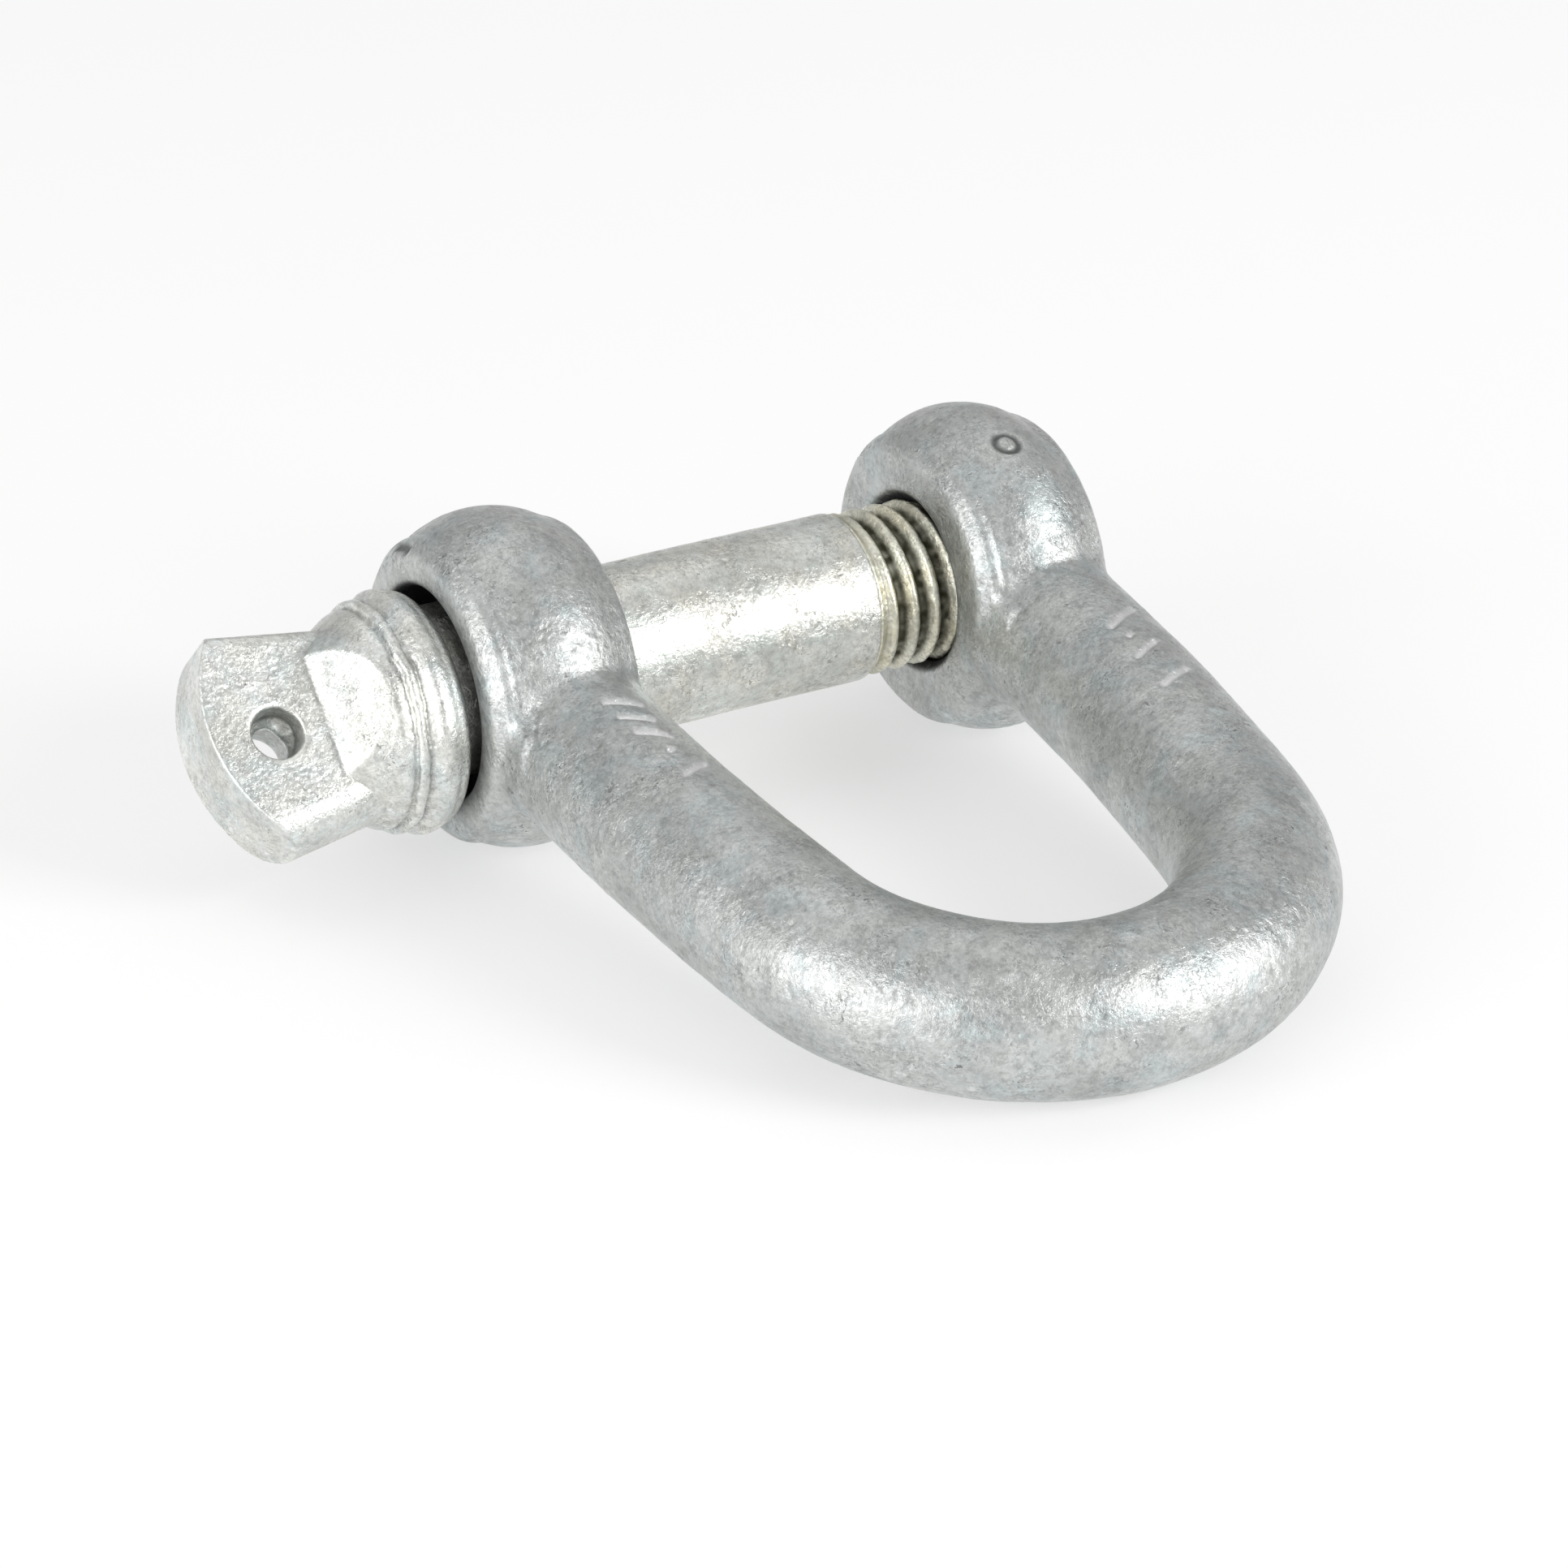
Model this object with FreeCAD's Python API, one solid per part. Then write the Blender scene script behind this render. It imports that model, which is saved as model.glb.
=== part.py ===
import FreeCAD, Part
import math
import os

# A forged D-pattern shackle with a screw pin, in millimetres.
# Frame: +X runs along the pin towards the tapped eye, +Z is up, and the crown of the bow lies towards -Y.
# The origin is on the pin's axis, in the middle of the jaw.

# Bow
JAW_WIDTH = 30.9            # clear gap between the two eyes
EYE_DIAMETER = 27.4         # across the crest of its barrel-shaped rim
EYE_FACE_DIAMETER = 24.0    # where the rim meets the flat faces
EYE_RIM_RADIUS = 1.4
PLAIN_EYE_THICKNESS = 13.2  # the eye under the pin's collar
TAPPED_EYE_THICKNESS = 12.4
PLAIN_HOLE_DIAMETER = 17.2
HOLE_EDGE_RADIUS = 0.8
BAR_DIAMETER = 13.2
CROWN_RADIUS = 19.4         # of the bar's centre line round the crown
CROWN_CENTRE = 39.2         # distance from the pin's axis
CROWN_OVERRUN = 9.2         # degrees short of a half circle at each end of the crown's arc
CROWN_OFFSET = 0.45         # the crown is forged a little off the middle of the jaw
PLAIN_LEG_INSET = 0.9       # the plain eye stands this far outside its leg

# Pin
PIN_DIAMETER = 14.0
PITCH = 2.0                 # M14 coarse thread, right hand
THREAD_DEPTH = 1.15
THREAD_CREST = 0.3          # width of the ridge at the pin's outer radius
THREAD_FOOT = 1.65          # width of the ridge where it leaves the core
THREAD_TRUNCATION = 0.18    # taken off the crests
THREAD_CLEARANCE = 0.12     # between the pin's thread and the eye's, on every side
THREAD_BORE_CLEARANCE = 0.25
ROOT_OVERLAP = 0.05         # sinks the ridge into the core
RUN_OUT = 1.6               # length over which the first groove fades into the shank
COUNTERSINK = 0.75          # how far the tapped hole's mouths stand outside the thread
THREAD_LENGTH = 18.0
END_CHAMFER = 1.4
SHANK_LENGTH = 38.1         # plain shank, from the collar to the thread
UNSCREWED = 0.6             # gap between the collar and its eye, with the pin part unscrewed

# Head of the pin, measured back from the collar's bearing face
HEAD_DROP = 1.0             # the head is upset this far below the shank's axis
COLLAR_DIAMETER = 19.4
COLLAR_ROUND = 1.2          # rounding round the bearing face
COLLAR_SWELL = 0.15         # how far the middle of its side stands out
COLLAR_END = 3.5            # where the collar stops
STEP_DIAMETER = 19.2        # first of two forged steps behind the collar
STEP_END = 4.8
NECK_DIAMETER = 18.2        # second step
NECK_END = 6.1
GROOVE = 0.3                # depth of the creases between them
HEAD_LENGTH = 19.1
TAB_THICKNESS = 7.2
TAB_SHOULDER = 9.6          # where the tab's flats begin
TAB_TIP_WIDTH = 18.0        # across the corners of its end
TAB_ROOT_WIDTH = 14.6       # across its root, at NECK_END
TAB_UPPER_CORNER = 16.6     # where those corners are: the end is forged a little askew
TAB_LOWER_CORNER = 14.5
TAB_UPPER_ROUND = 1.0       # rounding of the edges on each side
TAB_LOWER_ROUND = 2.7
TAB_OFFSET = -0.5           # the tab is forged a little to one side of the pin's axis
TAB_ANGLE = 37.8            # turn of the tab about the pin, from the plane of the bow
TAB_HOLE_PLACE = 13.7
TAB_HOLE_DIAMETER = 4.2
TAB_HOLE_FLARE = 0.3        # rounding of its mouths
TAB_SINK = 1.0              # how far the tab reaches into the neck
WEDGE_SINK = 0.5            # how far the wedge at its root does
WEDGE_INSET = 1.0           # how far inside the tab's edges the wedge ends

CUTTER_REACH = 1.0          # how far cutters stand out of what they cut

EYE_RADIUS = EYE_DIAMETER / 2
BAR_RADIUS = BAR_DIAMETER / 2
PIN_RADIUS = PIN_DIAMETER / 2
PLAIN_FACE = -JAW_WIDTH / 2 - PLAIN_EYE_THICKNESS
TAPPED_FACE = JAW_WIDTH / 2 + TAPPED_EYE_THICKNESS
COLLAR_FACE = PLAIN_FACE - UNSCREWED
THREAD_START = COLLAR_FACE + SHANK_LENGTH
PIN_END = THREAD_START + THREAD_LENGTH
CORE_RADIUS = PIN_RADIUS - THREAD_DEPTH
NECK_RADIUS = NECK_DIAMETER / 2 - 2 * GROOVE

ORIGIN = FreeCAD.Vector(0, 0, 0)
X_AXIS = FreeCAD.Vector(1, 0, 0)
Y_AXIS = FreeCAD.Vector(0, 1, 0)
Z_AXIS = FreeCAD.Vector(0, 0, 1)


def vector(x, y, z=0.0):
    return FreeCAD.Vector(x, y, z)


def resting_tilt():
    """Degrees about the pin that bring the eyes and the crown down to one level."""
    reach = CROWN_CENTRE + CROWN_RADIUS
    return math.degrees(math.asin((EYE_RADIUS - BAR_RADIUS) / reach))


def mirror_x(point, middle):
    return vector(2 * middle - point.x, point.y)


def arc(first, through, last):
    return Part.Arc(first, through, last).toShape()


def rounding(first, corner, last):
    """Quarter circle that takes the place of a square corner."""
    middle = corner + (first - corner + last - corner) * (1 - math.sqrt(0.5))
    return arc(first, middle, last)


def turned(profile):
    """Solid of revolution about X from the edges of a closed half profile."""
    return Part.Face(Part.Wire(profile)).revolve(ORIGIN, X_AXIS, 360)


def eye(start, thickness):
    """Barrel about the X axis, with flat faces and rounded rims."""
    middle = start + thickness / 2
    r = EYE_RIM_RADIUS
    axis = vector(start, 0)
    flat = vector(start, EYE_FACE_DIAMETER / 2 - r)
    corner = vector(start, EYE_FACE_DIAMETER / 2)
    rim = vector(start + r, EYE_FACE_DIAMETER / 2)
    crest = vector(middle, EYE_RADIUS)
    return turned([
        Part.makeLine(axis, flat),
        rounding(flat, corner, rim),
        arc(rim, crest, mirror_x(rim, middle)),
        rounding(mirror_x(rim, middle), mirror_x(corner, middle), mirror_x(flat, middle)),
        Part.makeLine(mirror_x(flat, middle), mirror_x(axis, middle)),
        Part.makeLine(mirror_x(axis, middle), axis),
    ])


def arc_tube(centre, radius, first, last):
    """Bar swept from angle first to angle last (degrees) round centre, in the plane of the bow."""
    turn = math.radians(first)
    middle = vector(centre.x + radius * math.cos(turn), centre.y + radius * math.sin(turn))
    tangent = vector(-math.sin(turn), math.cos(turn))
    section = Part.Face(Part.Wire(Part.makeCircle(BAR_RADIUS, middle, tangent)))
    return section.revolve(centre, Z_AXIS, last - first)


def leg(side, eye_centre):
    """Gently bowed leg, tangent to the crown's arc, that ends in the middle of its eye."""
    turn = math.radians(-CROWN_OVERRUN)
    out = vector(math.cos(turn), math.sin(turn))
    foot = vector(0, -CROWN_CENTRE) + out * CROWN_RADIUS
    chord = vector(eye_centre, 0) - foot
    radius = chord.dot(chord) / (-2 * chord.dot(out))
    centre = foot - out * radius
    swing = math.degrees(2 * math.asin(chord.Length / (2 * radius)))
    if side > 0:
        return arc_tube(centre, radius, -CROWN_OVERRUN, swing - CROWN_OVERRUN)
    mirrored = vector(-centre.x, centre.y)
    return arc_tube(mirrored, radius, 180 + CROWN_OVERRUN - swing, 180 + CROWN_OVERRUN)


def crown():
    return arc_tube(vector(0, -CROWN_CENTRE), CROWN_RADIUS, 180 + CROWN_OVERRUN, 360 - CROWN_OVERRUN)


def round_hole(start, end, radius, edge):
    """Cutter for a hole along X whose two mouths are rounded."""
    flare = radius + edge
    before, after = start - CUTTER_REACH, end + CUTTER_REACH
    return turned([
        Part.makeLine(vector(before, 0), vector(before, flare)),
        Part.makeLine(vector(before, flare), vector(start, flare)),
        rounding(vector(start, flare), vector(start, radius), vector(start + edge, radius)),
        Part.makeLine(vector(start + edge, radius), vector(end - edge, radius)),
        rounding(vector(end - edge, radius), vector(end, radius), vector(end, flare)),
        Part.makeLine(vector(end, flare), vector(after, flare)),
        Part.makeLine(vector(after, flare), vector(after, 0)),
        Part.makeLine(vector(after, 0), vector(before, 0)),
    ])


def thread_ridge(start, length, core, clearance):
    """Trapezoid ridge wound along X, in phase with the end of the shank and grown by clearance."""
    base = core - ROOT_OVERLAP
    outer = PIN_RADIUS + clearance
    slope = (THREAD_FOOT - THREAD_CREST) / 2 / THREAD_DEPTH
    crest = THREAD_CREST / 2 + clearance
    foot = crest + slope * (outer - base)
    helix = Part.makeLongHelix(PITCH, length, base)
    section = Part.makePolygon([
        vector(base, 0, -foot), vector(outer, 0, -crest), vector(outer, 0, crest),
        vector(base, 0, foot), vector(base, 0, -foot),
    ])
    ridge = Part.Wire(helix.Edges).makePipeShell([section], True, True)
    ridge.rotate(ORIGIN, Y_AXIS, 90)
    ridge.rotate(ORIGIN, X_AXIS, 360 * (start - THREAD_START) / PITCH)
    ridge.translate(vector(start, 0))
    return ridge


def cylinder(start, end, radius):
    return Part.makeCylinder(radius, end - start, vector(start, 0), X_AXIS)


def cone(start, end, radius_start, radius_end):
    return Part.makeCone(radius_start, radius_end, end - start, vector(start, 0), X_AXIS)


def bow():
    """The forged bow: two eyes, two legs and the crown in one piece."""
    plain_reach = (JAW_WIDTH + PLAIN_EYE_THICKNESS) / 2 - PLAIN_LEG_INSET + CROWN_OFFSET
    tapped_reach = (JAW_WIDTH + TAPPED_EYE_THICKNESS) / 2 - CROWN_OFFSET
    bar = crown().multiFuse([leg(-1, plain_reach), leg(1, tapped_reach)])
    bar.translate(X_AXIS * CROWN_OFFSET)
    plain = eye(PLAIN_FACE, PLAIN_EYE_THICKNESS)
    tapped = eye(JAW_WIDTH / 2, TAPPED_EYE_THICKNESS)
    body = bar.multiFuse([plain, tapped]).removeSplitter()
    body = body.cut(round_hole(PLAIN_FACE, -JAW_WIDTH / 2, PLAIN_HOLE_DIAMETER / 2, HOLE_EDGE_RADIUS))
    return body.cut(tapped_hole())


def tapped_hole():
    """Cutter for the threaded hole, countersunk at both faces."""
    bore = CORE_RADIUS + THREAD_BORE_CLEARANCE
    mouth = PIN_RADIUS + COUNTERSINK
    depth = mouth - bore
    start = JAW_WIDTH / 2
    before, after = start - CUTTER_REACH, TAPPED_FACE + CUTTER_REACH
    length = TAPPED_EYE_THICKNESS + 2 * PITCH
    ridge = thread_ridge(start - PITCH, length, bore, THREAD_CLEARANCE)
    reach = cylinder(before, after, PIN_RADIUS + CUTTER_REACH)
    parts = [
        ridge.common(reach),
        cone(start, start + depth, mouth, bore),
        cone(TAPPED_FACE - depth, TAPPED_FACE, bore, mouth),
        cylinder(before, start, mouth),
        cylinder(TAPPED_FACE, after, mouth),
    ]
    return cylinder(before, after, bore).multiFuse(parts)


def pin_shank():
    """Plain shank between the collar and the thread."""
    return cylinder(COLLAR_FACE, THREAD_START, PIN_RADIUS)


def pin_thread():
    """Threaded end with a run-out at the shank and a chamfered tip."""
    outer = PIN_RADIUS - THREAD_TRUNCATION
    ridge = thread_ridge(THREAD_START - PITCH, THREAD_LENGTH + 2 * PITCH, CORE_RADIUS, 0)
    run_out = cone(THREAD_START, THREAD_START + RUN_OUT, PIN_RADIUS, CORE_RADIUS)
    solid = cylinder(THREAD_START, PIN_END, CORE_RADIUS).multiFuse([ridge, run_out])
    straight = cylinder(THREAD_START, PIN_END - END_CHAMFER, outer)
    tip = cone(PIN_END - END_CHAMFER, PIN_END, outer, outer - END_CHAMFER)
    return solid.common(straight.fuse(tip))


def head_x(distance):
    """X of a place on the head, given back from the collar's bearing face."""
    return COLLAR_FACE - distance


def bulge(first, last, rise):
    """Arc between two points of a turned profile that stands out between them by rise."""
    middle = (first + last) * 0.5
    return arc(first, vector(middle.x, middle.y + rise), last)


def collar():
    """Domed collar with two narrower steps behind it."""
    rim = COLLAR_DIAMETER / 2 - COLLAR_SWELL
    face = vector(head_x(0), rim - COLLAR_ROUND)
    edge = vector(head_x(COLLAR_ROUND), rim)
    groove = vector(head_x(COLLAR_END), STEP_DIAMETER / 2 - GROOVE)
    step = vector(head_x(STEP_END), NECK_DIAMETER / 2 - GROOVE)
    neck = vector(head_x(NECK_END), NECK_RADIUS)
    return turned([
        Part.makeLine(vector(head_x(0), 0), face),
        rounding(face, vector(head_x(0), rim), edge),
        bulge(edge, groove, GROOVE + COLLAR_SWELL),
        bulge(groove, step, GROOVE),
        bulge(step, neck, GROOVE / 2),
        Part.makeLine(neck, vector(head_x(NECK_END), 0)),
        Part.makeLine(vector(head_x(NECK_END), 0), vector(head_x(0), 0)),
    ])


def long_edges(slab, side):
    """The two edges that run along one side of the tab."""
    found = []
    for edge in slab.Edges:
        middle = edge.CenterOfMass
        if side * middle.y > TAB_ROOT_WIDTH / 4 and abs(middle.z) > TAB_THICKNESS / 4:
            found.append(edge)
    return found


def tab():
    """Flat tab that widens towards its rounded end, lying in the XY plane before it is turned."""
    root = head_x(NECK_END - TAB_SINK)
    upper = vector(head_x(TAB_UPPER_CORNER), TAB_TIP_WIDTH / 2)
    lower = vector(head_x(TAB_LOWER_CORNER), -TAB_TIP_WIDTH / 2)
    upper_root = vector(root, TAB_ROOT_WIDTH / 2)
    lower_root = vector(root, -TAB_ROOT_WIDTH / 2)
    outline = Part.Wire([
        Part.makeLine(lower, lower_root),
        Part.makeLine(lower_root, upper_root),
        Part.makeLine(upper_root, upper),
        arc(upper, vector(head_x(HEAD_LENGTH), 0), lower),
    ])
    slab = Part.Face(outline).extrude(Z_AXIS * TAB_THICKNESS)
    slab.translate(Z_AXIS * -TAB_THICKNESS / 2)
    slab = slab.makeFillet(TAB_UPPER_ROUND, long_edges(slab, 1))
    return slab.makeFillet(TAB_LOWER_ROUND, long_edges(slab, -1))


def tab_root():
    """Wedge that rises from the tab's flats to the neck."""
    thin = TAB_THICKNESS / 2
    inside = head_x(NECK_END - WEDGE_SINK)
    outline = Part.makePolygon([
        FreeCAD.Vector(inside, 0, NECK_RADIUS),
        FreeCAD.Vector(head_x(NECK_END), 0, NECK_RADIUS),
        FreeCAD.Vector(head_x(TAB_SHOULDER), 0, thin),
        FreeCAD.Vector(head_x(TAB_SHOULDER), 0, -thin),
        FreeCAD.Vector(head_x(NECK_END), 0, -NECK_RADIUS),
        FreeCAD.Vector(inside, 0, -NECK_RADIUS),
        FreeCAD.Vector(inside, 0, NECK_RADIUS),
    ])
    wedge = Part.Face(outline).extrude(Y_AXIS * 2 * NECK_RADIUS)
    wedge.translate(Y_AXIS * -NECK_RADIUS)
    taper = cone(head_x(TAB_SHOULDER), head_x(NECK_END), TAB_ROOT_WIDTH / 2 - WEDGE_INSET, NECK_RADIUS)
    return wedge.common(taper.fuse(cylinder(head_x(NECK_END), inside, NECK_RADIUS)))


def tab_hole():
    """Cutter for the hole through the tab, with rounded mouths."""
    half = TAB_THICKNESS / 2
    cutter = round_hole(-half, half, TAB_HOLE_DIAMETER / 2, TAB_HOLE_FLARE)
    cutter.rotate(ORIGIN, Y_AXIS, 90)
    cutter.translate(X_AXIS * head_x(TAB_HOLE_PLACE))
    return cutter


def pin_head():
    """Collar and tab, with a hole in the tab for a seizing wire."""
    flats = tab().cut(tab_hole())
    flats.translate(Y_AXIS * TAB_OFFSET)
    head = collar().multiFuse([flats, tab_root()])
    head.rotate(ORIGIN, X_AXIS, TAB_ANGLE)
    head.translate(Z_AXIS * -HEAD_DROP)
    return head


PARTS = {
    "bow": bow,
    "pin_shank": pin_shank,
    "pin_thread": pin_thread,
    "pin_head": pin_head,
}

os.makedirs("parts", exist_ok=True)
for name, make in PARTS.items():
    shape = make()
    shape.rotate(ORIGIN, X_AXIS, resting_tilt())
    shape.exportStep("parts/" + name + ".step")
    box = shape.BoundBox
    print(name, len(shape.Solids), shape.isValid(), round(shape.Volume, 1),
          [round(v, 2) for v in (box.XMin, box.YMin, box.ZMin, box.XMax, box.YMax, box.ZMax)])
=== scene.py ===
import itertools
import math

import bpy
import numpy as np
from mathutils import Matrix, Vector


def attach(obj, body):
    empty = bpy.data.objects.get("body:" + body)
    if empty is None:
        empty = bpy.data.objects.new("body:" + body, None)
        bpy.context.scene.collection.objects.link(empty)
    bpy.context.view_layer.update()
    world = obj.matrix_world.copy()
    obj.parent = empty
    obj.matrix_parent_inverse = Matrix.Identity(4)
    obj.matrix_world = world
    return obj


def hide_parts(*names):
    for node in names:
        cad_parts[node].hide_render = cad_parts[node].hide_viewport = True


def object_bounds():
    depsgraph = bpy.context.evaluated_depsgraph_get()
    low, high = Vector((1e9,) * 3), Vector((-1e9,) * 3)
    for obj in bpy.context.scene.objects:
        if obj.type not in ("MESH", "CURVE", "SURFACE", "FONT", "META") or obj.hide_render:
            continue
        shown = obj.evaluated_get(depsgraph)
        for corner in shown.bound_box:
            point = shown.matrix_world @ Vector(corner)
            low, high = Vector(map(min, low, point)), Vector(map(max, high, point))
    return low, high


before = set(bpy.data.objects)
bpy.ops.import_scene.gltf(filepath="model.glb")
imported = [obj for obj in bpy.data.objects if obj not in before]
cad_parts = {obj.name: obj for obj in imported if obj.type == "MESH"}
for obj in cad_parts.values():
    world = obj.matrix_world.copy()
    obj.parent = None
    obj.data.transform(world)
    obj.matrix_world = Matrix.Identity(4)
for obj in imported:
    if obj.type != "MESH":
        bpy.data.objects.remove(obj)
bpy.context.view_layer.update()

# A galvanised screw pin shackle. Lengths are in millimetres and are turned into metres by MM.
# +X runs along the pin towards the tapped eye, +Z is up, and the crown of the bow lies towards -Y.
# The origin is on the pin's axis, in the middle of the jaw.
MM = 0.001

TILT = math.radians(6.96)   # the bow's plane slopes down towards the crown
PLAIN_HOLE = 8.6            # radius
TAPPED_MOUTH = 7.75         # radius of the countersink
PLAIN_FACE = -28.65         # outer face of the plain eye
JAW_FACE = -15.45           # its inner face; the tapped eye's is its mirror image

# Where the zinc on the bow lies roughest, and how far each of those patches reaches
ROUGH_PLACES = (((-25.2, -9.3, 9.0), 3.0), ((-27.0, -14.0, 3.5), 3.0), ((17.5, -38.0, 0.5), 5.0),
                ((-12.0, -62.0, -7.5), 4.0), ((24.0, -11.0, 7.0), 3.0))

THREAD_START = 8.85
THREAD_CORE = 5.85          # radius
PIN_END = 26.85
COLLAR_FACE = -29.25        # bearing face of the pin's collar
COLLAR_END = 3.5            # the forged steps, measured back from the collar's face
STEP_END = 4.8
HEAD_DROP = 1.0             # the head lies this far below the shank's axis
TAB_TURN = TILT + math.radians(37.8)
TAB_HALF = 3.6              # half the tab's thickness
TAB_OFFSET = -0.5           # the tab lies this far to one side of the head's axis
TAB_HOLE_RADIUS = 2.1
TAB_HOLE = (COLLAR_FACE - 13.7,
            TAB_OFFSET * math.cos(TAB_TURN) + HEAD_DROP * math.sin(TILT),
            TAB_OFFSET * math.sin(TAB_TURN) - HEAD_DROP * math.cos(TILT))

BAR_DEPTH = 0.30            # of the punched bars and dots
RING_PLACE = (21.8, -3.0)   # of the ring on the tapped eye, in the bow's plane
RING_RADIUS = 1.0
RING_DEPTH = 0.22
SCRATCH = ((-28.2, 5.2), (-27.9, 7.6))
SCRATCH_DEPTH = 0.2

BOW_VOXEL = 0.23            # small enough for the finest detail of each piece
SHANK_VOXEL = 0.2
THREAD_VOXEL = 0.14
HEAD_VOXEL = 0.16
BOW_TRIANGLES = 190000      # the most that the two largest skins keep
THREAD_TRIANGLES = 120000

LIGHT_AIM = (0, -25, 0)
CAMERA_AIM = (-0.14, -6.88, -11.89)
CAMERA_DISTANCE = 453.5
CAMERA_AZIMUTH = math.radians(-30.23)
CAMERA_ELEVATION = math.radians(26.83)
CAMERA_ROLL = math.radians(0.6)
CAMERA_LENS = 128.4
SENSOR = 36.0


# ---------------------------------------------------------------- mesh tools

def remeshed(node, name, voxel):
    """Copy of a CAD node, rebuilt as an even skin of small quads."""
    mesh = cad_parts[node].data.copy()
    mesh.materials.clear()
    piece = bpy.data.objects.new(name, mesh)
    bpy.context.scene.collection.objects.link(piece)
    weld = piece.modifiers.new("weld", "WELD")
    weld.merge_threshold = 0.0005 * MM
    rebuild = piece.modifiers.new("rebuild", "REMESH")
    rebuild.mode = "VOXEL"
    rebuild.voxel_size = voxel * MM
    apply_modifiers(piece)
    return piece


def apply_modifiers(piece):
    """The piece's mesh becomes what its modifiers make of it."""
    depsgraph = bpy.context.evaluated_depsgraph_get()
    done = bpy.data.meshes.new_from_object(piece.evaluated_get(depsgraph))
    piece.modifiers.clear()
    old = piece.data
    piece.data = done
    bpy.data.meshes.remove(old)


class Skin:
    """A mesh's vertices as an array in millimetres, with the ways that forging and zinc change them."""

    def __init__(self, piece):
        self.mesh = piece.data
        count = len(self.mesh.vertices)
        flat = np.empty(count * 3, np.float32)
        self.mesh.vertices.foreach_get("co", flat)
        self.places = flat.reshape(-1, 3).astype(float) / MM
        pairs = np.empty(len(self.mesh.edges) * 2, np.int32)
        self.mesh.edges.foreach_get("vertices", pairs)
        self.ends = pairs.reshape(-1, 2).T
        self.degree = np.bincount(pairs, minlength=count)

    def store(self):
        self.mesh.vertices.foreach_set("co", (self.places * MM).astype(np.float32).ravel())
        self.mesh.update()

    def normals(self):
        self.store()
        flat = np.empty(len(self.places) * 3, np.float32)
        self.mesh.vertex_normals.foreach_get("vector", flat)
        return flat.reshape(-1, 3).astype(float)

    def spread(self, values):
        """Mean of each vertex's neighbours."""
        first, second = self.ends
        count = len(self.places)
        total = np.empty_like(values)
        for axis in range(values.shape[1]):
            column = values[:, axis]
            total[:, axis] = np.bincount(first, column[second], count)
            total[:, axis] += np.bincount(second, column[first], count)
        return total / self.degree[:, None]

    def smooth(self, rounds):
        """Evens out the skin without shrinking it."""
        for _ in range(rounds):
            for share in (0.5, -0.52):
                self.places += share * (self.spread(self.places) - self.places)

    def soften(self, rounds, weight):
        """Plain smoothing, which rounds edges off. Weight has a number for each vertex."""
        for _ in range(rounds):
            self.places += 0.5 * weight[:, None] * (self.spread(self.places) - self.places)

    def fill_creases(self, rounds, weight):
        """Raises the skin only where it is hollow, as a fillet does."""
        for turn in range(rounds):
            if turn % 8 == 0:
                normals = self.normals()
            inward = self.spread(self.places) - self.places
            rise = np.maximum((inward * normals).sum(1), 0)
            self.places += (0.9 * weight * rise)[:, None] * normals

    def push(self, amount):
        """Moves each vertex along its normal by its own amount."""
        self.places += self.normals() * amount[:, None]


def lattice_noise(points, size, seed):
    """Smooth noise, about -1 to 1, with lumps of about size. Points and size share their unit.

    Each lattice corner has a slope of its own, which an integer hash makes from its place and the seed.
    """
    cells = points / np.asarray(size)
    corner = np.floor(cells).astype(np.int64)
    inside = cells - corner
    blend = inside ** 3 * (inside * (inside * 6 - 15) + 10)
    total = np.zeros(len(points))
    for offset in itertools.product((0, 1), repeat=3):
        key = ((corner + offset) * (73856093, 19349663, 83492791)).sum(1) + seed * 668265263
        key = (key ^ (key >> 15)) * 2246822519 & 0xFFFFFFFF
        key = (key ^ (key >> 13)) * 3266489917 & 0xFFFFFFFF
        key ^= key >> 16
        slopes = np.stack([(key >> shift & 1023) / 511.5 - 1 for shift in (0, 10, 20)], axis=1)
        share = np.where(offset, blend, 1 - blend).prod(1)
        total += share * (slopes * (inside - offset)).sum(1)
    return total * 1.6


def layered_noise(points, size, seed, layers):
    """Noise whose finer layers are weaker."""
    total = np.zeros(len(points))
    for layer in range(layers):
        total += lattice_noise(points, np.asarray(size) / 2 ** layer, seed + layer) / 1.8 ** layer
    return total


def step(values, low, high):
    """0 below low, 1 above high, smooth between."""
    share = np.clip((values - low) / (high - low), 0, 1)
    return share * share * (3 - 2 * share)


def zinc_relief(points, seed, rough_places=()):
    """Height of the galvanised skin: faint forging waves, shallow pits, runs of zinc and short wrinkles."""
    waves = 0.055 * lattice_noise(points, 9.0, seed) + 0.024 * lattice_noise(points, 4.0, seed + 1)
    hammered = 0.016 * layered_noise(points, 1.7, seed + 2, 2)
    patches = step(lattice_noise(points, 6.5, seed + 5), -0.15, 0.45)
    for place, reach in rough_places:
        away = np.linalg.norm(points - place, axis=1)
        patches = np.maximum(patches, 1.6 * (1 - step(away, 0.4 * reach, reach)))
    pits = -0.10 * step(lattice_noise(points, 0.8, seed + 6), 0.45, 0.9)
    lumps = 0.06 * step(lattice_noise(points, 1.2, seed + 7), 0.5, 1.0)
    wrinkle = np.abs(lattice_noise(points, (1.5, 0.6, 0.6), seed + 8))
    wrinkles = -0.08 * (1 - step(wrinkle, 0.0, 0.18)) * step(lattice_noise(points, 3.0, seed + 9), 0.1, 0.5)
    return waves + hammered + (0.25 + 0.75 * patches) * (pits + lumps + wrinkles)


def hump(away, width):
    """1 at the middle of a line, 0 at width from it."""
    return 1 - step(np.abs(away), 0.2 * width, width)


# ---------------------------------------------------------------- bow

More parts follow.
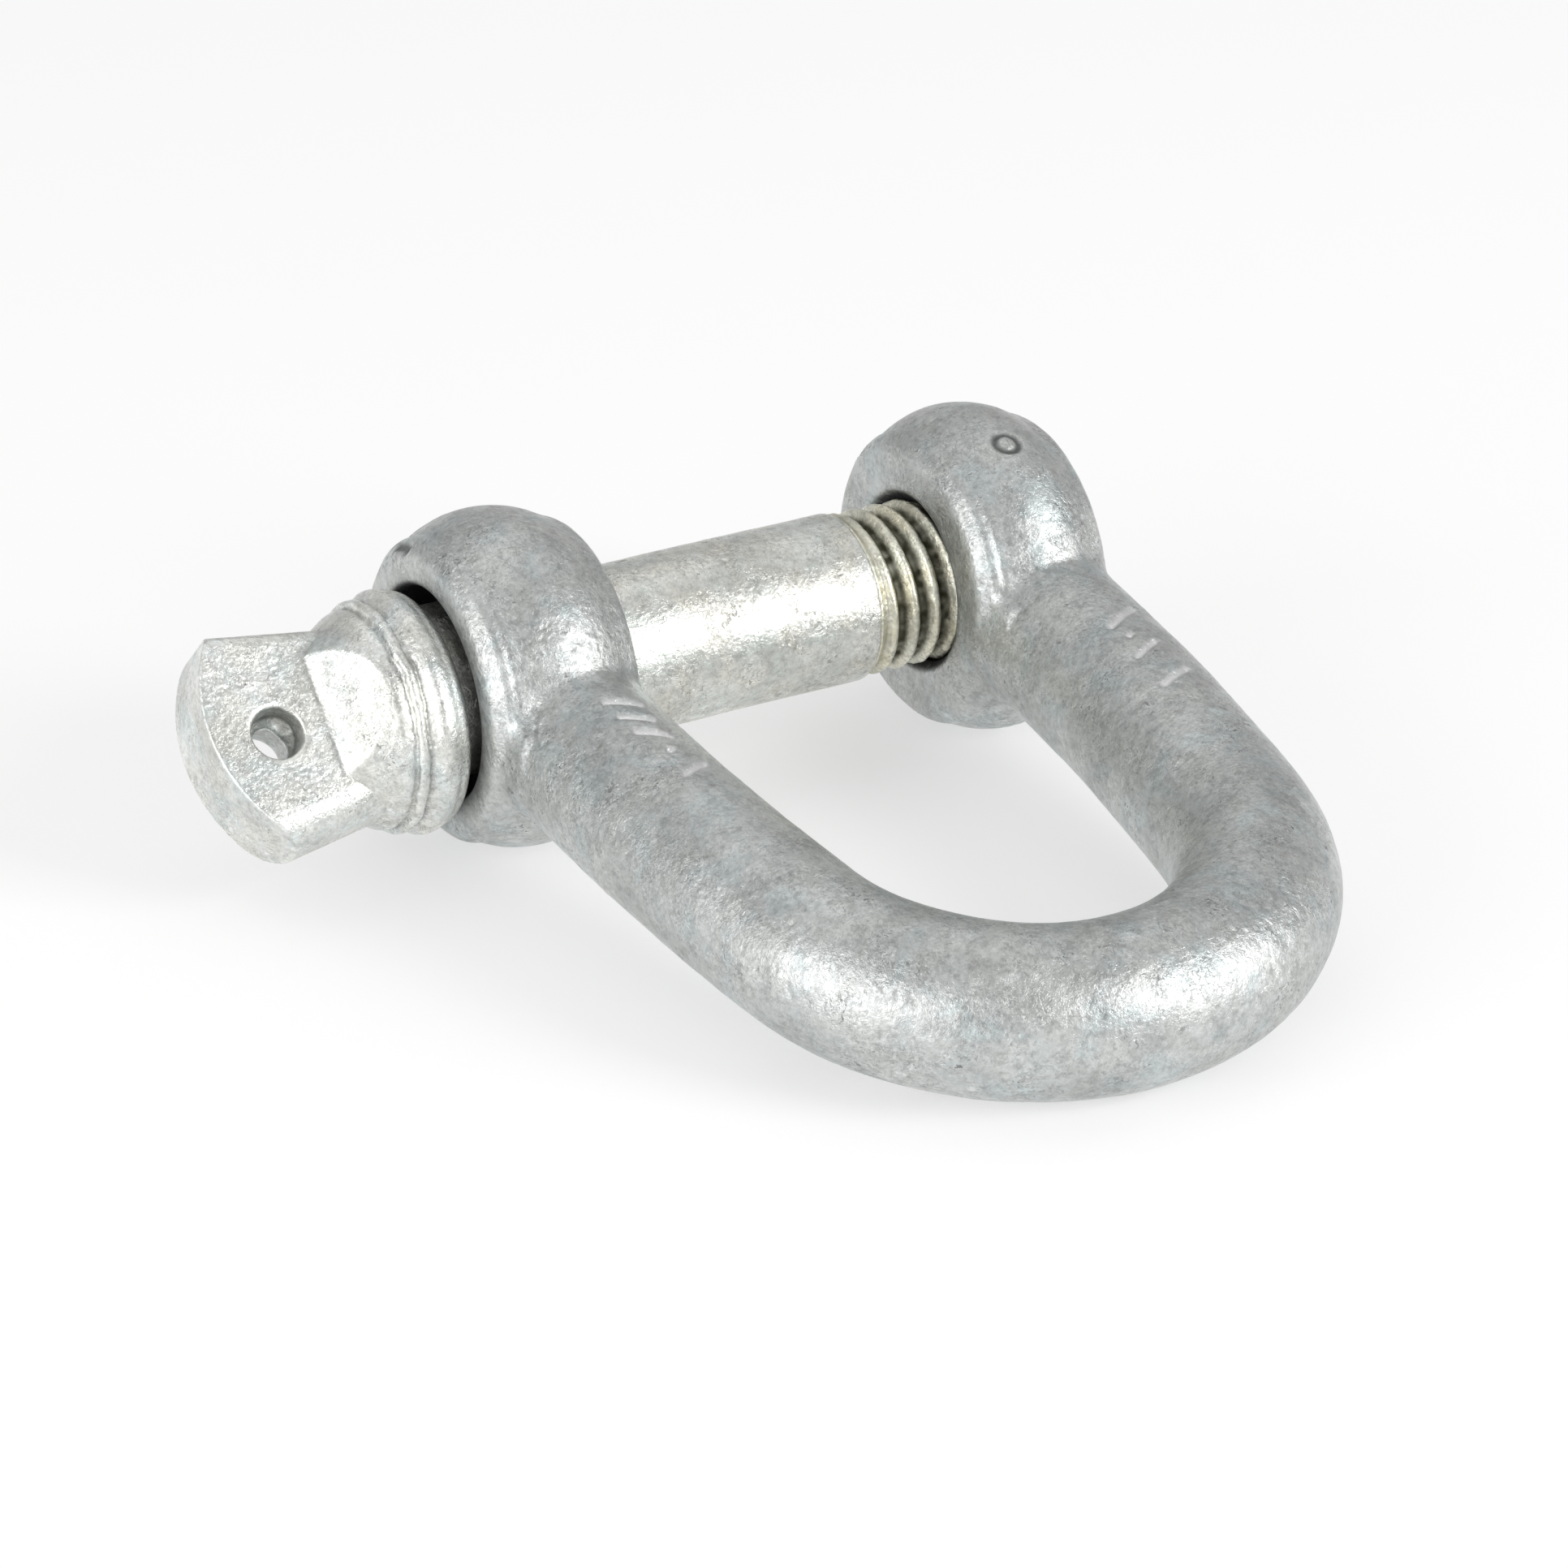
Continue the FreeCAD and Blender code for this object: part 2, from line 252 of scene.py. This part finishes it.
def flat_frame(points):
    """Points turned so that the bow lies level: X along the pin, Y along the legs, Z across the bar."""
    turn = np.array(Matrix.Rotation(-TILT, 3, "X"))
    return points @ turn.T


def stroke(points, first, last, width):
    """1 along a line between two points in the bow's plane, 0 at width from it."""
    first, last = np.asarray(first), np.asarray(last)
    along = last - first
    share = np.clip((points - first) @ along / max(along @ along, 1e-9), 0, 1)
    away = np.linalg.norm(points - first - share[:, None] * along, axis=1)
    return hump(away, width)


def leg_marks():
    """Plain punched bars and a dot on the top of each leg, which stand for its stamps."""
    near = [((-21.6, -15.6), (-19.0, -16.6)), ((-21.5, -18.0), (-19.2, -19.0)),
            ((-21.4, -20.4), (-19.0, -21.5)), ((-20.8, -27.0), (-18.4, -25.8))]
    far = [((20.8, -21.6), (24.4, -19.4)), ((20.4, -26.2), (22.9, -24.8)), ((20.0, -30.6), (23.0, -29.2))]
    dots = [((-20.2, -23.6), (-20.2, -23.6)), ((21.4, -23.4), (21.4, -23.4))]
    return near + far + dots


def punch_marks(skin):
    """Sinks the marks into the skin that faces up, and returns how much painted shade and grime and how much
    painted highlight and wear they get.
    """
    level = flat_frame(skin.places)
    up = (level[:, 2] > 1.5) & (flat_frame(skin.normals())[:, 2] > 0.3)
    plan = level[:, :2]
    legs = np.zeros(len(level))
    for first, last in leg_marks():
        legs = np.maximum(legs, stroke(plan, first, last, 0.55))
    ring = hump(np.linalg.norm(plan - RING_PLACE, axis=1) - RING_RADIUS, 0.45)
    scratch = stroke(plan, *SCRATCH, 0.4)
    sunk = BAR_DEPTH * legs + RING_DEPTH * ring + SCRATCH_DEPTH * scratch
    skin.push(-sunk * up)
    return up * np.maximum(ring, scratch), up * legs


def make_bow():
    piece = remeshed("bow", "bow_forging", BOW_VOXEL)
    skin = Skin(piece)
    skin.smooth(3)
    off_axis = np.hypot(skin.places[:, 1], skin.places[:, 2])
    outside = step(off_axis, PLAIN_HOLE + 0.9, PLAIN_HOLE + 1.6)
    skin.fill_creases(36, outside)
    skin.soften(4, outside)
    relief = zinc_relief(skin.places, 11, ROUGH_PLACES) + rim_beads(skin.places)
    skin.push(relief * (0.15 + 0.85 * outside))
    stamped, bright = punch_marks(skin)
    skin.store()
    # Painted shade and grime: the bores of both eyes go dark, and the stamped ring and scratch go darker.
    hole = np.where(skin.places[:, 0] < 0, PLAIN_HOLE + 0.1, TAPPED_MOUTH - 0.5)
    inside = 1 - step(off_axis - hole, 0.0, 0.5)
    set_shade_highlight_and_wear(piece, "painted_shade_and_grime", np.maximum(inside, 0.7 * stamped))
    # Painted highlight and wear on the punched bars.
    set_shade_highlight_and_wear(piece, "painted_highlight_and_wear", bright)
    thin(piece, BOW_TRIANGLES)
    finish_piece(piece, "bow", "bow", bow_material())


def rim_beads(points):
    """Low bead left by the dies along the rim of each eye."""
    off_axis = np.hypot(points[:, 1], points[:, 2])
    rim = step(off_axis, 11.2, 11.9) * (1 - step(off_axis, 14.0, 14.8))
    beads = hump(points[:, 0] - PLAIN_FACE - 1.3, 0.8) + hump(points[:, 0] + JAW_FACE - 1.3, 0.8)
    return 0.24 * beads * rim


def set_shade_highlight_and_wear(piece, name, amount):
    """Stores an amount, 0 to 1, for each vertex, which the materials read as painted shade and grime, or as
    painted highlight and wear.
    """
    layer = piece.data.attributes.new(name, "FLOAT", "POINT")
    layer.data.foreach_set("value", amount.astype(np.float32))


def thin(piece, triangles):
    """Keeps about that many triangles, most of them where the skin is uneven."""
    faces = sum(len(polygon.vertices) - 2 for polygon in piece.data.polygons)
    if faces > triangles:
        fewer = piece.modifiers.new("fewer", "DECIMATE")
        fewer.ratio = triangles / faces
        apply_modifiers(piece)


def finish_piece(piece, body, node, material):
    """Gives the piece its material, and puts it on its body in place of its CAD node."""
    piece.data.shade_smooth()
    piece.data.materials.clear()
    piece.data.materials.append(material)
    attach(piece, body)
    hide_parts(node)


# ---------------------------------------------------------------- pin

def make_shank():
    piece = remeshed("pin_shank", "pin_shank_skin", SHANK_VOXEL)
    skin = Skin(piece)
    skin.smooth(3)
    along = skin.places[:, 0]
    clear = step(along, COLLAR_FACE + 0.3, COLLAR_FACE + 1.5)
    clear *= 1 - step(along, THREAD_START - 1.5, THREAD_START - 0.3)
    skin.push(0.85 * zinc_relief(skin.places, 41) * clear)
    skin.store()
    # Painted shade and grime: the shank darkens a little where it lies inside the plain eye and beside the
    # collar.
    under_eye = 1 - step(along + 1.5 * lattice_noise(skin.places, 3.0, 47), JAW_FACE - 6, JAW_FACE - 1)
    set_shade_highlight_and_wear(piece, "painted_shade_and_grime", 0.2 * under_eye)
    finish_piece(piece, "pin_travel", "pin_shank", pin_material())


def make_thread():
    piece = remeshed("pin_thread", "pin_thread_skin", THREAD_VOXEL)
    skin = Skin(piece)
    skin.smooth(2)
    inner = step(skin.places[:, 0], THREAD_START + 0.2, THREAD_START + 1.0)
    skin.soften(6, inner)
    radius = np.hypot(skin.places[:, 1], skin.places[:, 2])
    # Painted shade in the thread's roots: depth marks the roots, which are darkened patchily along the wound
    # part below.
    depth = 1 - step(radius, THREAD_CORE + 0.1, THREAD_CORE + 0.6)
    relief = 0.05 * layered_noise(skin.places, 1.1, 61, 3)
    skin.push(np.minimum(relief, 0.02) * inner)
    skin.store()
    patchy = 0.85 + 0.35 * lattice_noise(skin.places, 0.7, 67)
    wound = inner * (1 - step(skin.places[:, 0], PIN_END - 1.8, PIN_END - 1.2))
    set_shade_highlight_and_wear(piece, "painted_shade_and_grime", np.clip(depth * patchy, 0, 1) * wound)
    thin(piece, THREAD_TRIANGLES)
    finish_piece(piece, "pin_turn", "pin_thread", thread_material())


def tab_frame(points):
    """Points seen from the tab: X along the pin, Y across the tab, Z out of its upper flat."""
    turn = np.array(Matrix.Rotation(-TAB_TURN, 3, "X"))
    return (points - TAB_HOLE) @ turn.T


def make_head():
    piece = remeshed("pin_head", "pin_head_forging", HEAD_VOXEL)
    skin = Skin(piece)
    skin.smooth(2)
    clear = 1 - step(skin.places[:, 0], COLLAR_FACE - 0.5, COLLAR_FACE - 0.2)
    skin.soften(2, clear)
    drift_hole(skin)
    relief = 0.45 * zinc_relief(skin.places, 81) + flash_relief(skin.places)
    skin.push(relief * (0.1 + 0.9 * clear))
    skin.store()
    local = tab_frame(skin.places)
    # Painted shade in the tab's hole: its wall is darkened a little.
    bore = hump(np.hypot(local[:, 0], local[:, 1]) - TAB_HOLE_RADIUS, 0.7)
    bore *= np.abs(local[:, 2]) < TAB_HALF - 0.4
    set_shade_highlight_and_wear(piece, "painted_shade_and_grime", 0.3 * bore)
    finish_piece(piece, "pin_turn", "pin_head", head_material())


def drift_hole(skin):
    """Ragged ledge round the middle of the tab's hole, where the two drifts met."""
    local = tab_frame(skin.places)
    radius = np.hypot(local[:, 0], local[:, 1])
    bearing = np.arctan2(local[:, 1], local[:, 0])
    wall = 1 - step(np.abs(radius - TAB_HOLE_RADIUS), 0.25, 0.5)
    wall *= np.abs(local[:, 2]) < TAB_HALF - 0.3
    height = local[:, 2] - 0.5 - 0.4 * np.sin(2 * bearing)
    ledge = 1 - step(np.abs(height), 0.15, 0.9)
    uneven = 0.55 + 0.35 * np.sin(bearing + 0.6) + 0.2 * np.sin(3 * bearing)
    outward = np.zeros_like(local)
    outward[:, :2] = local[:, :2] / np.maximum(radius, 0.01)[:, None]
    turn = np.array(Matrix.Rotation(TAB_TURN, 3, "X"))
    skin.places -= (0.95 * wall * ledge * uneven)[:, None] * (outward @ turn.T)


def flash_relief(points):
    """Ragged edges left by the dies round the two steps behind the collar."""
    back = COLLAR_FACE - points[:, 0] + 0.18 * layered_noise(points, 1.8, 97, 2)
    valley = hump(back - COLLAR_END + 0.1, 1.0)
    crease = hump(back - COLLAR_END - 0.15, 0.28) + hump(back - STEP_END, 0.3)
    ring = hump(back - 0.5 * (COLLAR_END + STEP_END), 0.75)
    return 0.12 * ring - 0.18 * valley - 0.15 * crease


# ---------------------------------------------------------------- materials

class Graph:
    """Short names for building a node material."""

    def __init__(self, name):
        self.material = bpy.data.materials.new(name)
        self.material.use_nodes = True
        self.nodes = self.material.node_tree.nodes
        self.links = self.material.node_tree.links
        self.surface = self.nodes["Principled BSDF"]
        coordinates = self.nodes.new("ShaderNodeTexCoord")
        self.places = coordinates.outputs["Object"]

    def noise(self, size, detail, roughness, distortion=0.0):
        """Noise with lumps of about size millimetres."""
        node = self.nodes.new("ShaderNodeTexNoise")
        node.inputs["Scale"].default_value = 1 / (size * MM)
        node.inputs["Detail"].default_value = detail
        node.inputs["Roughness"].default_value = roughness
        node.inputs["Distortion"].default_value = distortion
        self.links.new(self.places, node.inputs["Vector"])
        return node.outputs["Fac"]

    def ramp(self, value, *stops):
        """Maps a value through stops of (place, grey or colour)."""
        node = self.nodes.new("ShaderNodeValToRGB")
        elements = node.color_ramp.elements
        while len(elements) < len(stops):
            elements.new(0.5)
        for element, (place, colour) in zip(elements, stops):
            element.position = place
            element.color = colour_of(colour)
        self.links.new(value, node.inputs["Fac"])
        return node.outputs["Color"]

    def mix(self, share, first, second, kind="MIX"):
        """Mixes two colours. The node's inputs 6 and 7 and its output 2 are the ones for colours."""
        node = self.nodes.new("ShaderNodeMix")
        node.data_type = "RGBA"
        node.blend_type = kind
        self.feed(share, node.inputs["Factor"])
        self.feed(first, node.inputs[6])
        self.feed(second, node.inputs[7])
        return node.outputs[2]

    def math(self, kind, first, second):
        node = self.nodes.new("ShaderNodeMath")
        node.operation = kind
        self.feed(first, node.inputs[0])
        self.feed(second, node.inputs[1])
        return node.outputs[0]

    def feed(self, value, socket):
        if isinstance(value, bpy.types.NodeSocket):
            self.links.new(value, socket)
        elif socket.type == "RGBA":
            socket.default_value = colour_of(value)
        else:
            socket.default_value = value

    def bump(self, height, strength, distance, below=None):
        node = self.nodes.new("ShaderNodeBump")
        node.inputs["Strength"].default_value = strength
        node.inputs["Distance"].default_value = distance * MM
        self.links.new(height, node.inputs["Height"])
        if below:
            self.links.new(below, node.inputs["Normal"])
        return node.outputs["Normal"]

    def attribute(self, name):
        node = self.nodes.new("ShaderNodeAttribute")
        node.attribute_name = name
        return node.outputs["Fac"]

    def pointiness(self):
        """Bright on raised edges, dark in hollows."""
        return self.nodes.new("ShaderNodeNewGeometry").outputs["Pointiness"]

    def set(self, **values):
        for name, value in values.items():
            self.feed(value, self.surface.inputs[name.replace("_", " ")])


def colour_of(value):
    """A grey number or an (r, g, b) as a colour with alpha."""
    if isinstance(value, (int, float)):
        value = (value, value, value)
    return (*value[:3], 1.0)


def zinc(name, light, dark, cool, warm, gloss, shade_and_grime_colour):
    """Galvanised steel: mottled greys, cool and warm clouds, dark pits, fine grain, creases and hollows
    darkened as painted shade, raised edges lightened as wear, painted shade and grime, and painted highlight
    and wear on the punched bars.

    Light and dark are the greys of the clouds, cool and warm their tints. Gloss is the range of roughness.
    The last argument is the colour of the painted shade and grime.
    """
    g = Graph(name)
    clouds = g.ramp(g.noise(6.0, 4, 0.6), (0.38, dark), (0.60, light))
    tint = g.ramp(g.noise(4.0, 4, 0.6, 0.4), (0.38, cool), (0.48, (1, 1, 1)), (0.62, warm))
    colour = g.mix(1.0, clouds, tint, "MULTIPLY")
    mottle = g.ramp(g.noise(0.8, 5, 0.7), (0.32, 0.74), (0.50, 1.0), (0.68, 1.13))
    colour = g.mix(1.0, colour, mottle, "MULTIPLY")
    flecks = g.ramp(g.noise(0.30, 4, 0.75, 0.6), (0.34, 0.76), (0.50, 1.0), (0.66, 1.18))
    coarse = g.ramp(g.noise(2.2, 3, 0.6), (0.42, 0.35), (0.58, 1.0))
    colour = g.mix(coarse, colour, g.mix(1.0, colour, flecks, "MULTIPLY"))
    clusters = g.ramp(g.noise(3.2, 3, 0.6), (0.48, 0.0), (0.66, 1.0))
    specks = g.ramp(g.noise(0.36, 3, 0.6, 0.8), (0.36, 1.0), (0.44, 0.0))
    colour = g.mix(g.math("MULTIPLY", clusters, specks), colour, dark_of(dark))
    lines = g.ramp(g.noise(1.0, 4, 0.65, 1.2), (0.465, 0.0), (0.50, 1.0), (0.535, 0.0))
    creased = g.ramp(g.noise(3.6, 3, 0.6, 0.5), (0.45, 0.0), (0.60, 1.0))
    creases = g.math("MULTIPLY", lines, creased)
    # Painted shade: the colour darkens along the crease lines, which the bump at the end also sinks.
    colour = g.mix(g.math("MULTIPLY", creases, 0.4), colour, dark_of(dark))
    # Painted shade and wear: pointiness darkens the colour in hollows, as shade, and lightens it on raised
    # edges, as wear.
    hollow_shade_and_edge_wear = g.ramp(g.pointiness(), (0.43, 0.66), (0.495, 1.0), (0.56, 1.2))
    colour = g.mix(1.0, colour, hollow_shade_and_edge_wear, "MULTIPLY")
    # Painted highlight and wear: the punched bars on the legs are lightened towards pale grey, partly for
    # the highlights along their edges and partly for rubbed zinc.
    colour = g.mix(g.attribute("painted_highlight_and_wear"), colour, 0.85)
    # Painted shade and grime: the colour goes towards the last argument's dark colour in the eyes' bores,
    # the thread's roots, the tab's hole, under the plain eye, and in the stamped ring and scratch.
    painted_shade_and_grime = g.attribute("painted_shade_and_grime")
    colour = g.mix(painted_shade_and_grime, colour, shade_and_grime_colour)
    low, high = gloss
    rough = g.ramp(g.noise(1.3, 5, 0.7), (0.32, low), (0.68, high))
    rough = g.mix(painted_shade_and_grime, rough, 0.7)
    grain = g.noise(0.34, 4, 0.7, 0.3)
    dents = g.ramp(g.noise(0.55, 3, 0.55, 0.9), (0.34, 0.0), (0.46, 1.0))
    normal = g.bump(grain, 0.8, 0.08)
    normal = g.bump(g.math("MULTIPLY", dents, clusters), 0.6, 0.07, normal)
    normal = g.bump(g.math("SUBTRACT", 1.0, creases), 0.3, 0.06, normal)
    g.set(Base_Color=colour, Roughness=rough, Metallic=0.9, Normal=normal)
    return g.material


def dark_of(colour):
    return tuple(0.5 * channel for channel in colour)


def bow_material():
    return zinc("bow_galvanised", (0.575, 0.588, 0.582), (0.47, 0.482, 0.478), (0.945, 1.0, 1.005),
                (1.0, 0.998, 0.98), (0.30, 0.44), (0.05, 0.054, 0.052))


def pin_material():
    return zinc("pin_galvanised", (0.78, 0.785, 0.75), (0.62, 0.625, 0.59), (0.97, 1.0, 1.0),
                (1.02, 1.0, 0.96), (0.24, 0.36), (0.07, 0.07, 0.06))


def head_material():
    return zinc("head_galvanised", (0.80, 0.812, 0.79), (0.64, 0.652, 0.63), (0.95, 1.0, 1.01),
                (1.01, 1.0, 0.965), (0.23, 0.36), (0.20, 0.20, 0.19))


def thread_material():
    return zinc("thread_galvanised", (0.78, 0.77, 0.67), (0.54, 0.53, 0.44), (0.98, 1.0, 1.0),
                (1.03, 1.0, 0.92), (0.26, 0.38), (0.06, 0.058, 0.035))


# ---------------------------------------------------------------- stage

def make_stage():
    """Plain pale floor under the shackle, at its lowest point, that glows a little as a light table does."""
    floor_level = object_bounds()[0][2]
    mesh = bpy.data.meshes.new("floor")
    half = 3.0
    corners = [(x, y, floor_level) for x, y in ((-half, -half), (half, -half), (half, half), (-half, half))]
    mesh.from_pydata(corners, [], [(0, 1, 2, 3)])
    floor = bpy.data.objects.new("floor", mesh)
    bpy.context.scene.collection.objects.link(floor)
    g = Graph("pale_floor")
    g.set(Base_Color=(0.5, 0.5, 0.5), Roughness=0.9, Emission_Color=(1, 1, 1), Emission_Strength=0.5)
    mesh.materials.append(g.material)


def direction(azimuth, elevation):
    """Unit vector from the middle towards a place seen at that azimuth and elevation."""
    level = math.cos(elevation)
    return Vector((math.sin(azimuth) * level, -math.cos(azimuth) * level, math.sin(elevation)))


def softbox(name, azimuth, elevation, distance, size, power):
    """Soft area light that faces the middle of the shackle. Angles in degrees, lengths in metres."""
    lamp = bpy.data.lights.new(name, "AREA")
    lamp.shape = "RECTANGLE"
    lamp.size, lamp.size_y = size
    lamp.energy = power
    light = bpy.data.objects.new(name, lamp)
    way = direction(math.radians(azimuth), math.radians(elevation))
    light.location = Vector(LIGHT_AIM) * MM + way * distance
    light.rotation_mode = "QUATERNION"
    light.rotation_quaternion = (-way).to_track_quat("-Z", "Y")
    bpy.context.scene.collection.objects.link(light)


def make_lights():
    """A low box on the left, a smaller and brighter one on the right, and a wide one overhead, behind."""
    softbox("left", -76, 16, 0.7, (0.62, 0.42), 2.65)
    softbox("right", 36, 25, 0.7, (0.28, 0.34), 2.7)
    softbox("overhead", 170, 72, 0.7, (0.8, 0.6), 0.75)
    world = bpy.data.worlds.new("studio")
    world.use_nodes = True
    world.node_tree.nodes["Background"].inputs["Color"].default_value = (1, 1, 1, 1)
    world.node_tree.nodes["Background"].inputs["Strength"].default_value = 0.52
    bpy.context.scene.world = world
    bpy.context.scene.view_settings.view_transform = "Standard"


def make_camera():
    """Long-lens camera above the crown, on the head's side, with a little roll and no shift."""
    data = bpy.data.cameras.new("camera")
    data.lens = CAMERA_LENS
    data.sensor_width = SENSOR
    data.clip_start, data.clip_end = 0.01, 20
    camera = bpy.data.objects.new("camera", data)
    back = direction(CAMERA_AZIMUTH, CAMERA_ELEVATION)
    camera.location = (Vector(CAMERA_AIM) + back * CAMERA_DISTANCE) * MM
    camera.rotation_mode = "QUATERNION"
    roll = Matrix.Rotation(CAMERA_ROLL, 3, "Z").to_quaternion()
    camera.rotation_quaternion = (-back).to_track_quat("-Z", "Y") @ roll
    bpy.context.scene.collection.objects.link(camera)
    bpy.context.scene.camera = camera


make_bow()
make_shank()
make_thread()
make_head()
make_stage()
make_lights()
make_camera()
